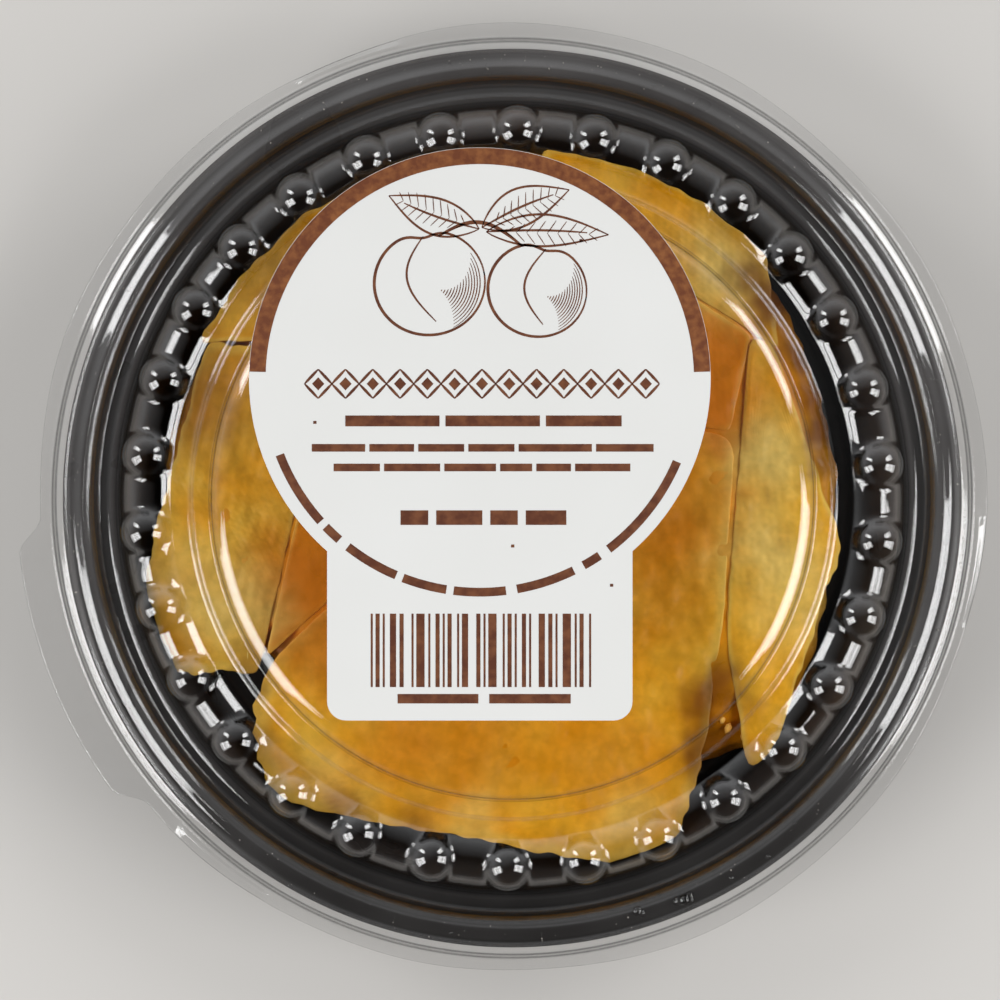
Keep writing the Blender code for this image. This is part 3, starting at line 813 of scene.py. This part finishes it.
def make_food_piece(name, centre, rim, height, seed, edges, crags, torn):
    """A piece on the filling: rings out along its base, up a bulging torn side, in over its top.

    The ring's size, its climb and how rough it is follow one section line. Relief is four
    sizes of crossing waves. The same kind of waves eat the outline inwards, most where it is
    free near the tray's wall.
    """
    angles = even_angles(300)
    turn = np.radians(angles)
    reach = piece_reach(angles, centre, edges, rim)
    bite = 0.5 + 0.5 * waves(*on_circle(12.0, turn), 7.0, seed)
    reach = reach * (1.0 - torn * np.clip(bite, 0.0, 1.0))
    outline = on_circle(reach, turn)
    nibble = waves(*outline, 3.0, seed + 7) + 1.3 * waves(*outline, 8.0, seed + 8)
    free = smooth_step((np.hypot(*on_circle(reach, turn, centre)) - 41.0) / 6.0)
    reach = reach - crags * (0.22 + (0.22 + 0.75 * free) * nibble) + PIECE_SPREAD
    knots = np.arange(8.0)
    step = np.concatenate([np.linspace(0.0, 5.0, 30)[:-1], np.linspace(5.0, 7.0, 66)])
    share = np.interp(step, knots, (0.2, 1.0, 1.0, 1.0, 1.0, 0.93, 0.48, 0.02))
    inset = np.interp(step, knots, (0.0, 0.9, 0.2, 0.0, 0.12, 0.3, 0.0, 0.0))
    climb = np.interp(step, knots, (0.0, 0.0, 0.4, 0.86, 0.96, 0.99, 1.0, 1.0))
    rough = np.interp(step, knots, (0.0, 0.0, 0.15, 0.4, 0.8, 1.0, 1.0, 1.0))
    kernel = np.array([1.0, 2.0, 3.0, 2.0, 1.0]) / 9.0
    for line in (share, inset, climb):
        line[2:-2] = np.convolve(line, kernel, "valid")
    radius = share[:, None] * reach[None, :] - inset[:, None]
    x, y = on_circle(radius, turn, centre)
    lumps = 0.6 * waves(x, y, 9.0, seed + 1) + 0.4 * waves(x, y, 4.5, seed + 2)
    fine = 0.14 * waves(x, y, 2.3, seed + 3) + 0.07 * waves(x, y, 1.1, seed + 4)
    z = PIECE_BASE_Z + climb[:, None] * height + rough[:, None] * crags * (lumps + fine)
    rings = keep_in_tray(np.stack([x, y, z], axis=-1))
    item = closed_stack(name, rings, (*centre, PIECE_BASE_Z), tuple(rings[-1].mean(axis=0)))
    # Painted light: the edge share lightens each piece's rim with the edge tint, offsetting the
    # shade in the grooves between pieces
    edge = smooth_step((share - 0.93) / 0.05)[:, None] + 0.0 * reach[None, :]
    set_share(item, "edge", np.concatenate([edge.ravel(), [0.0, 0.0]]))
    set_tints(item)
    return item


# Tints over the food: middle x and y, radius, strength
TINTS = {
    "amber": (
        (-30.5, -12.5, 8.5, 1.0), (-27.0, -22.0, 7.0, 0.7), (27.5, 13.0, 8.0, 1.0),
        (22.0, -4.0, 9.5, 0.7), (30.5, 22.0, 5.0, 0.8), (20.0, -17.0, 7.0, 0.35),
        (31.3, 9.0, 3.2, 0.8), (31.8, 1.0, 3.0, 0.5), (-8.0, -37.0, 13.0, 0.58),
        (14.0, -38.0, 10.0, 0.52), (-17.0, -36.0, 7.0, 0.4),
    ),
    "pale": (
        (36.5, 6.0, 5.5, 1.0), (36.5, -7.0, 6.5, 0.9), (42.0, -15.0, 7.0, 0.6),
        (30.0, 33.0, 6.5, 0.9), (-5.0, -46.5, 4.5, 0.5), (17.0, -47.0, 5.0, 0.5),
        (-27.0, -40.0, 5.5, 0.5), (-38.5, -17.0, 6.0, 0.7), (-46.0, -13.0, 7.0, 0.6),
    ),
    # brown_and_shade: the patches by the V gap at lower left and along the bottom edge are the
    # crust's own browning; those in the upper left, along the right side by the wall and in the
    # lower right bay are painted shade
    "brown_and_shade": (
        (-33.0, 36.0, 10.0, 0.5), (-45.0, 14.0, 8.0, 0.6), (43.8, 9.5, 3.0, 0.9),
        (46.5, 9.0, 3.6, 0.9), (44.6, 3.5, 2.6, 0.6), (44.8, 15.5, 3.2, 0.9),
        (41.8, 21.5, 3.2, 0.9), (38.0, 27.5, 3.2, 0.9), (36.5, 28.0, 3.2, 0.9),
        (29.0, -28.0, 4.6, 0.95), (27.0, -35.0, 4.4, 0.95), (30.5, -41.0, 5.4, 0.95),
        (34.5, 32.0, 3.6, 0.8), (-36.5, -34.0, 3.0, 0.6), (-37.5, -26.0, 3.4, 0.6),
        (-24.0, -44.8, 3.2, 0.7), (-13.0, -47.5, 3.0, 0.6),
    ),
}
# Pieces: name, middle, rim radius, height, seed, and straight edges as the heading of the edge's
# normal and its distance from the tray's axis
CRUSTS = (
    ("crust_left", (-42.0, -2.0), 54.2, 2.8, 21,
     ((-12.8, -29.8), (271.0, 24.4), (92.0, 23.4), (165.0, 48.2))),
    ("crust_upper_left", (-24.0, 34.0), 50.0, 2.8, 31,
     ((272.0, -23.8), (0.0, -7.0))),
    ("crust_bottom", (8.0, -24.0), 55.2, 2.9, 41,
     ((180.0, 37.4), (132.5, 6.5), (80.0, 14.4), (-4.5, 31.6), (-13.0, 35.0), (259.6, 49.3))),
    ("crust_right", (40.0, -6.0), 52.0, 3.0, 51,
     ((175.5, -32.0), (190.5, -26.2), (75.0, 31.0), (18.4, 42.6), (-18.0, 47.0))),
    ("crust_upper_right", (24.0, 39.0), 50.2, 2.8, 61,
     ((237.0, -38.6), (180.0, -4.0), (8.0, 41.0))),
)
SLICES = (
    ("peach_right", (24.0, 20.5), 50.0, 2.8, 71,
     ((260.0, -14.8), (57.0, 38.2), (-12.0, 28.6), (180.0, -9.0))),
    ("peach_left", (-24.0, -3.0), 50.0, 2.8, 81,
     ((167.2, 29.4), (312.5, -6.9), (0.0, -13.0), (90.0, 9.0))),
)


def pebble_cloud(name, places, sizes, seed, flat=0.7):
    """Many small uneven lumps in one mesh: a twenty-sided pebble shape at each place.

    Each corner of the pebble lies at its direction times the size times a seeded factor.
    """
    dice = np.random.default_rng(seed)
    golden = (1.0 + math.sqrt(5.0)) / 2.0
    pairs = np.array([(s, t * golden) for s in (-1, 1) for t in (-1, 1)]) / math.hypot(1.0, golden)
    none = np.zeros(len(pairs))
    s, t = pairs.T
    ways = ((s, t, none), (none, s, t), (t, none, s))
    corners = np.vstack([np.column_stack(way) for way in ways])
    form = bmesh.new()
    for corner in corners:
        form.verts.new(corner)
    bmesh.ops.convex_hull(form, input=form.verts[:])
    form.verts.index_update()
    sides = np.array([[v.index for v in face.verts] for face in form.faces])
    form.free()
    count = len(places)
    stretch = dice.uniform(0.7, 1.3, (count, len(corners), 1))
    lean = dice.uniform(0.75, 1.25, (count, 1, 3)) * (1.0, 1.0, flat)
    points = places[:, None, :] + sizes[:, None, None] * corners[None] * stretch * lean
    faces = (sides[None] + len(corners) * np.arange(count)[:, None, None]).reshape(-1, 3)
    return add_piece(name, points.reshape(-1, 3), faces.tolist())


def make_crumbs():
    """Pale crumbs along the torn edges beside the two bays, by seeded draws in listed patches."""
    dice = np.random.default_rng(17)
    patches = (
        ((35.0, -33.0), (4.2, 2.6), 16.4, 10),
        ((-41.0, -21.5), (6.0, 2.2), 17.2, 22),
        ((22.0, -44.5), (3.6, 2.0), 16.6, 8),
        ((-34.0, -36.0), (2.4, 5.0), 16.4, 14),
    )
    places = []
    for middle, spread, height, count in patches:
        spot = np.array(middle) + dice.normal(0.0, 0.5, (count, 2)) * spread
        places.append(np.column_stack([spot, np.full(count, height)]))
    places = keep_in_tray(np.vstack(places))
    sizes = dice.uniform(0.3, 0.85, len(places))
    return pebble_cloud("crumbs", places, sizes, 18)


def make_drops():
    """Small flattened drops on the lid's channel: a seeded cluster and a few alone."""
    dice = np.random.default_rng(23)
    cluster = dice.normal(292.0, 2.2, 9)
    alone = np.array([300.0, 305.5, 311.0, 262.0, 71.0])
    turn = np.radians(np.concatenate([cluster, alone]))
    radius = dice.uniform(60.6, 62.4, len(turn))
    size = np.concatenate(
        [dice.uniform(0.35, 0.75, len(cluster)), dice.uniform(0.2, 0.45, len(alone))]
    )
    rows = 7
    sides = 18
    bend = np.radians(np.linspace(4.0, 86.0, rows))[:, None]
    spin = np.radians(even_angles(sides))
    size, radius, turn = (values[:, None, None] for values in (size, radius, turn))
    x, y = on_circle(size * np.cos(bend), spin, on_circle(radius, turn))
    z = CHANNEL_Z + 0.02 + 0.55 * size * np.sin(bend) + 0.0 * x
    faces = []
    for start in np.arange(len(x)) * rows * sides:
        faces += band_faces(rows, sides, start)
        faces.append((start + (rows - 1) * sides + np.arange(sides)).tolist())
        faces.append((start + np.arange(sides)[::-1]).tolist())
    return add_piece("moisture", np.stack([x, y, z], axis=-1).reshape(-1, 3), faces)


def make_dust():
    """Pale specks of dust lying on the lid's channel and the tray's rim below it."""
    dice = np.random.default_rng(29)
    count = 170
    turn = dice.uniform(0.0, 2.0 * math.pi, count)
    radius = dice.uniform(60.2, 63.0, count)
    height = np.where(dice.uniform(size=count) < 0.5, CHANNEL_Z + 0.03, TRAY_RIM_Z + 0.05)
    places = np.column_stack([*on_circle(radius, turn), height])
    return pebble_cloud("dust", places, dice.uniform(0.04, 0.12, count), 30)


# Materials

def node(tree, kind, **values):
    """A node with some of its settings or inputs set by name."""
    made = tree.nodes.new(kind)
    for key, value in values.items():
        if hasattr(made, key):
            setattr(made, key, value)
        else:
            made.inputs[key.replace("_", " ")].default_value = value
    return made


def feed(tree, target, **sources):
    """Link each source socket to the target's input of that name."""
    for key, source in sources.items():
        tree.links.new(source, target.inputs[key.replace("_", " ")])


def new_material(name, kind="ShaderNodeBsdfPrincipled", **values):
    """A material, its tree and its one shader, which is linked to the output."""
    material = bpy.data.materials.new(name)
    material.use_nodes = True
    tree = material.node_tree
    tree.nodes.clear()
    shader = node(tree, kind, **values)
    tree.links.new(shader.outputs[0], tree.nodes.new("ShaderNodeOutputMaterial").inputs["Surface"])
    return material, tree, shader


def mixed(tree, factor, first, second):
    """Colour socket that goes from first to second; each is a colour or another socket."""
    mix = tree.nodes.new("ShaderNodeMix")
    mix.data_type = "RGBA"
    tree.links.new(factor, mix.inputs[0])
    for socket, value in ((mix.inputs[6], first), (mix.inputs[7], second)):
        if isinstance(value, tuple):
            socket.default_value = value
        else:
            tree.links.new(value, socket)
    return mix.outputs[2]


def scaled(tree, value, low, high, to_low=0.0, to_high=1.0):
    """Socket value mapped from low..high to to_low..to_high and held there."""
    span = tree.nodes.new("ShaderNodeMapRange")
    span.inputs["From Min"].default_value = low
    span.inputs["From Max"].default_value = high
    span.inputs["To Min"].default_value = to_low
    span.inputs["To Max"].default_value = to_high
    tree.links.new(value, span.inputs["Value"])
    return span.outputs["Result"]


def worked(tree, operation, *values):
    """Result of a sum on up to three values; each is a number or another socket."""
    made = node(tree, "ShaderNodeMath", operation=operation)
    for place, value in zip(made.inputs, values):
        if isinstance(value, float):
            place.default_value = value
        else:
            tree.links.new(value, place)
    return made.outputs[0]


def noise(tree, scale, detail=2.0):
    """Soft noise over Object coordinates, a socket from 0 to 1."""
    place = tree.nodes.new("ShaderNodeTexCoord")
    texture = node(tree, "ShaderNodeTexNoise", Scale=scale, Detail=detail)
    tree.links.new(place.outputs["Object"], texture.inputs["Vector"])
    return texture.outputs["Fac"]


def bumps(tree, height, strength, depth, under=None):
    """Normal of a surface with this height, depth in millimetres, over another normal if given."""
    made = node(tree, "ShaderNodeBump", Strength=strength, Distance=depth * MM)
    tree.links.new(height, made.inputs["Height"])
    if under:
        tree.links.new(under, made.inputs["Normal"])
    return made.outputs["Normal"]


def mottle_group():
    """Shared patchiness of the food: soft blotches and finer grain."""
    group = bpy.data.node_groups.new("food_mottle", "ShaderNodeTree")
    for name, way in (("Grain Scale", "INPUT"), ("Blotches", "OUTPUT"), ("Grain", "OUTPUT")):
        group.interface.new_socket(name, in_out=way, socket_type="NodeSocketFloat")
    source = group.nodes.new("NodeGroupInput")
    result = group.nodes.new("NodeGroupOutput")
    grain = noise(group, 1.0)
    grain.node.inputs["Roughness"].default_value = 0.6
    feed(group, grain.node, Scale=source.outputs["Grain Scale"])
    feed(group, result, Blotches=scaled(group, noise(group, 110.0, 1.5), 0.32, 0.68), Grain=grain)
    return group


def under_lid(red, green, blue):
    """Surface colour of food that shows as this screen colour under the lid.

    The lid's veil is taken off, and the rest is divided by the share of light that gets to the
    food and back.
    """
    seen = np.array(tone(red, green, blue)[:3])
    surface = np.clip((seen - LID_VEIL) / LIGHT_BACK, 0.002, 0.92)
    return (*surface.tolist(), 1.0)


# What the tints of the food show as: attribute, colour, greatest share
TINT_TONES = (
    # The edge tint is painted light that offsets the shade in the grooves between pieces
    ("edge", under_lid(200, 146, 66), 0.6),
    ("amber", under_lid(158, 91, 13), 0.95),
    ("pale", under_lid(196, 150, 82), 0.95),
    # brown_and_shade: the crust's own browning, and painted shade where its patches stand in for
    # shade
    ("brown_and_shade", under_lid(82, 46, 22), 0.9),
)


# Looks of the food: two tones that show under the lid, roughness, grain depth and grain scale
FOOD_LOOKS = {
    "filling_syrup": ((164, 105, 26), (184, 122, 36), 0.3, 0.2, 300.0),
    "crust_baked": ((184, 121, 28), (194, 136, 48), 0.45, 0.18, 520.0),
    "peach_amber": ((154, 86, 10), (176, 110, 24), 0.3, 0.15, 300.0),
    "crumb_baked": ((180, 128, 60), (206, 160, 96), 0.6, 0.1, 900.0),
}


def food_material(name, mottle, dark, light, roughness, depth, grain_scale):
    """Moist baked surface: two tones in blotches, then the edge and patch tints, then grain."""
    material, tree, shader = new_material(
        name, Coat_Weight=0.03, Coat_Roughness=0.25, Specular_IOR_Level=0.2
    )
    spots = tree.nodes.new("ShaderNodeGroup")
    spots.node_tree = mottle
    spots.inputs["Grain Scale"].default_value = grain_scale
    grain = spots.outputs["Grain"]
    colour = mixed(tree, spots.outputs["Blotches"], under_lid(*dark), under_lid(*light))
    # The edge tint is painted light on the pieces' rims, and brown_and_shade is partly painted
    # shade
    for layer, tint, most in TINT_TONES:
        share = node(tree, "ShaderNodeAttribute", attribute_name=layer)
        colour = mixed(tree, scaled(tree, share.outputs["Fac"], 0.0, 1.0, 0.0, most), colour, tint)
    value = node(tree, "ShaderNodeVectorMath", operation="SCALE")
    feed(tree, value, Vector=colour, Scale=scaled(tree, grain, 0.3, 0.7, 0.88, 1.1))
    rough = scaled(tree, grain, 0.3, 0.7, roughness - 0.1, roughness + 0.1)
    normal = bumps(tree, grain, 0.4, depth)
    feed(tree, shader, Base_Color=value.outputs[0], Roughness=rough, Normal=normal)
    return material


def clear_material(name, roughness, least, tint):
    """Clear thin sheet: straight through, with a mirror share that grows towards glancing angles.

    The share is least + GLANCING_SHARE f^4, where f is 1 less the cosine of the viewing angle,
    and what comes through gets darker by f^2.6. Light that another surface has sent back goes
    straight through.
    """
    material, tree, mix = new_material(name, "ShaderNodeMixShader")
    through = tree.nodes.new("ShaderNodeBsdfTransparent")
    gloss = node(tree, "ShaderNodeBsdfPrincipled", Metallic=1.0, Roughness=roughness)
    gloss.inputs["Base Color"].default_value = WHITE
    facing = node(tree, "ShaderNodeLayerWeight", Blend=0.5).outputs["Facing"]
    path = tree.nodes.new("ShaderNodeLightPath").outputs
    sent_back = worked(tree, "MAXIMUM", path["Is Diffuse Ray"], path["Is Glossy Ray"])
    share = worked(tree, "MULTIPLY_ADD", worked(tree, "POWER", facing, 4.0), GLANCING_SHARE, least)
    seen = worked(tree, "MULTIPLY", share, worked(tree, "SUBTRACT", 1.0, sent_back))
    dim = mixed(tree, worked(tree, "POWER", facing, 2.6), tint, (0.12, 0.12, 0.12, 1.0))
    feed(tree, through, Color=dim)
    for socket, source in zip(mix.inputs, (seen, through.outputs[0], gloss.outputs[0])):
        tree.links.new(source, socket)
    return material


def tray_material():
    """Glossy black sheet plastic with a faint bloom and fine scuffs.

    On the ledge and rim it is painted greyer than on the wall and floor, a painted sheen in place
    of reflected light, and that painted rim grey turns darker towards -Y, a painted shade
    where less light falls.
    """
    material, tree, shader = new_material("black_plastic", IOR=1.45)
    bloom = noise(tree, 70.0)
    place = tree.nodes.new("ShaderNodeTexCoord")
    parts = tree.nodes.new("ShaderNodeSeparateXYZ")
    tree.links.new(place.outputs["Object"], parts.inputs[0])
    # Painted sheen and shade: the ledge and rim get a lighter grey (far) standing in for reflected
    # light, which turns darker (near) towards -Y, a painted shade
    painted_rim_share = scaled(tree, parts.outputs["Z"], 20.5 * MM, 22.2 * MM)
    ahead = scaled(tree, parts.outputs["Y"], -55.0 * MM, -10.0 * MM)
    low = mixed(tree, bloom, tone(56, 53, 52), tone(78, 75, 74))
    near = mixed(tree, bloom, tone(42, 40, 39), tone(60, 58, 57))
    far = mixed(tree, bloom, tone(70, 67, 66), tone(98, 95, 94))
    feed(
        tree,
        shader,
        Base_Color=mixed(tree, painted_rim_share, low, mixed(tree, ahead, near, far)),
        Roughness=scaled(tree, bloom, 0.3, 0.7, 0.26, 0.42),
        Normal=bumps(tree, noise(tree, 900.0, 1.0), 0.15, 0.02),
    )
    return material


def paper_material():
    """White label stock: slight cockling and a fine fibre grain."""
    material, tree, shader = new_material("label_paper", Roughness=0.55)
    cloud = noise(tree, 45.0)
    fine = bumps(tree, noise(tree, 1500.0, 1.0), 0.2, 0.03)
    colour = mixed(tree, cloud, tone(216, 216, 213), tone(224, 224, 222))
    feed(tree, shader, Base_Color=colour, Normal=bumps(tree, cloud, 0.4, 0.5, fine))
    return material


def patchy_material(name, dark, light, scale, detail, roughness, low=0.0, high=1.0):
    """Two tones in uneven patches."""
    material, tree, shader = new_material(name, Roughness=roughness)
    share = scaled(tree, noise(tree, scale, detail), low, high)
    feed(tree, shader, Base_Color=mixed(tree, share, dark, light))
    return material


def ink_material(name, dark, light, scale):
    """Brown ink, a little uneven where it has soaked into the paper."""
    return patchy_material(name, dark, light, scale, 4.0, 0.5, 0.38, 0.66)


# Stage, lights and camera

def make_floor():
    """A plain pale floor just under the pack."""
    corners = np.array([(-1, -1, 0), (1, -1, 0), (1, 1, 0), (-1, 1, 0)]) * FLOOR_HALF
    floor = add_piece("floor", corners - (0.0, 0.0, FLOOR_DROP), [(0, 1, 2, 3)], smooth=False)
    material = new_material("pale_floor", Roughness=0.7, Base_Color=tone(205, 202, 198))[0]
    floor.data.materials.append(material)


def make_lamp(name, heading, rise, width, height, watts):
    """A soft rectangular lamp aimed at the pack, from a heading and a rise above the floor."""
    data = bpy.data.lights.new(name, "AREA")
    data.shape = "RECTANGLE"
    data.size = width
    data.size_y = height
    data.energy = watts
    lamp = bpy.data.objects.new(name, data)
    climb = math.radians(rise)
    away = np.array([*on_circle(math.cos(climb), math.radians(heading)), math.sin(climb)])
    lamp.location = away * LAMP_AWAY + np.array([0.0, 0.0, PANEL_Z * MM])
    lamp.rotation_mode = "QUATERNION"
    lamp.rotation_quaternion = mathutils.Vector(away).to_track_quat("Z", "Y")
    lamp.visible_camera = False
    bpy.context.scene.collection.objects.link(lamp)


def make_lights():
    """Two tall windows of two panes, two smaller lamps, and a dim room, lighter to the top left."""
    for tag, rise in (("lower", 27.5), ("upper", 48.0)):
        make_lamp("left_window_" + tag, 206.0, rise, 0.32, 0.2, 1.2)
        make_lamp("right_window_" + tag, 344.0, rise, 0.3, 0.2, 1.15)
    make_lamp("left_high_box", 150.0, 38.0, 0.14, 0.3, 0.8)
    make_lamp("right_high_box", 30.0, 38.0, 0.2, 0.3, 1.1)
    world = bpy.data.worlds.new("grey_room")
    world.use_nodes = True
    tree = world.node_tree
    place = tree.nodes.new("ShaderNodeTexCoord")
    parts = tree.nodes.new("ShaderNodeSeparateXYZ")
    lean = node(tree, "ShaderNodeVectorMath", operation="DOT_PRODUCT")
    lean.inputs[1].default_value = (-0.15, 0.52, 0.0)
    for target in (parts, lean):
        tree.links.new(place.outputs["Generated"], target.inputs[0])
    fade = scaled(tree, parts.outputs["Z"], 0.0, 0.85, 0.6, 0.05)
    fade.node.interpolation_type = "SMOOTHSTEP"
    total = worked(tree, "ADD", fade, lean.outputs["Value"])
    total.node.use_clamp = True
    back = tree.nodes["Background"]
    back.inputs["Color"].default_value = (0.96, 0.98, 1.0, 1.0)
    feed(tree, back, Strength=total)
    bpy.context.scene.world = world


def make_camera():
    """A camera straight above the label, framed by the width that is seen at the label."""
    data = bpy.data.cameras.new("camera")
    data.lens = data.sensor_width * CAMERA_ABOVE_LABEL / SEEN_WIDTH
    data.clip_start = 0.01
    camera = bpy.data.objects.new("camera", data)
    across, along = (-share * SEEN_WIDTH * MM for share in AXIS_AT)
    camera.location = (across, along, (PANEL_Z + CAMERA_ABOVE_LABEL) * MM)
    bpy.context.scene.collection.objects.link(camera)
    bpy.context.scene.camera = camera
    bpy.context.scene.view_settings.view_transform = "Standard"


def dress(item, material, node_name=None):
    item.data.materials.append(material)
    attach(item, "root")
    if node_name:
        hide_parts(node_name)


def main():
    make_camera()
    make_lights()
    make_floor()

    dress(make_tray(), tray_material(), "tray")
    clear = clear_material("clear_sheet", 0.05, 0.06, (0.99, 0.99, 0.99, 1.0))
    dress(make_lid(), clear, "lid")
    dress(make_label(), paper_material(), "label")
    band, lines = make_prints()
    dress(band, ink_material("band_ink", tone(100, 48, 14), tone(132, 78, 36), 900.0))
    dress(lines, ink_material("line_ink", tone(84, 38, 12), tone(112, 64, 34), 700.0))

    mottle = mottle_group()
    looks = {name: food_material(name, mottle, *look) for name, look in FOOD_LOOKS.items()}
    dress(make_filling(), looks["filling_syrup"], "filling")
    for pieces, tag, look, slot, relief in (
        (CRUSTS, "_piece", "crust_baked", "crust_golden", (CRUST_CRAGS, CRUST_TORN)),
        (SLICES, "_slice", "peach_amber", "peach_amber", (SLICE_CRAGS, SLICE_TORN)),
    ):
        for name, *form in pieces:
            dress(make_food_piece(name + tag, *form, *relief), looks[look], name)
    dress(make_crumbs(), looks["crumb_baked"])

    water = clear_material("water", 0.02, 0.03, WHITE)
    dress(make_drops(), water)
    specks = patchy_material(
        "dust_specks", tone(120, 112, 104), tone(214, 208, 200), 300.0, 2.0, 0.9
    )
    dress(make_dust(), specks)


main()
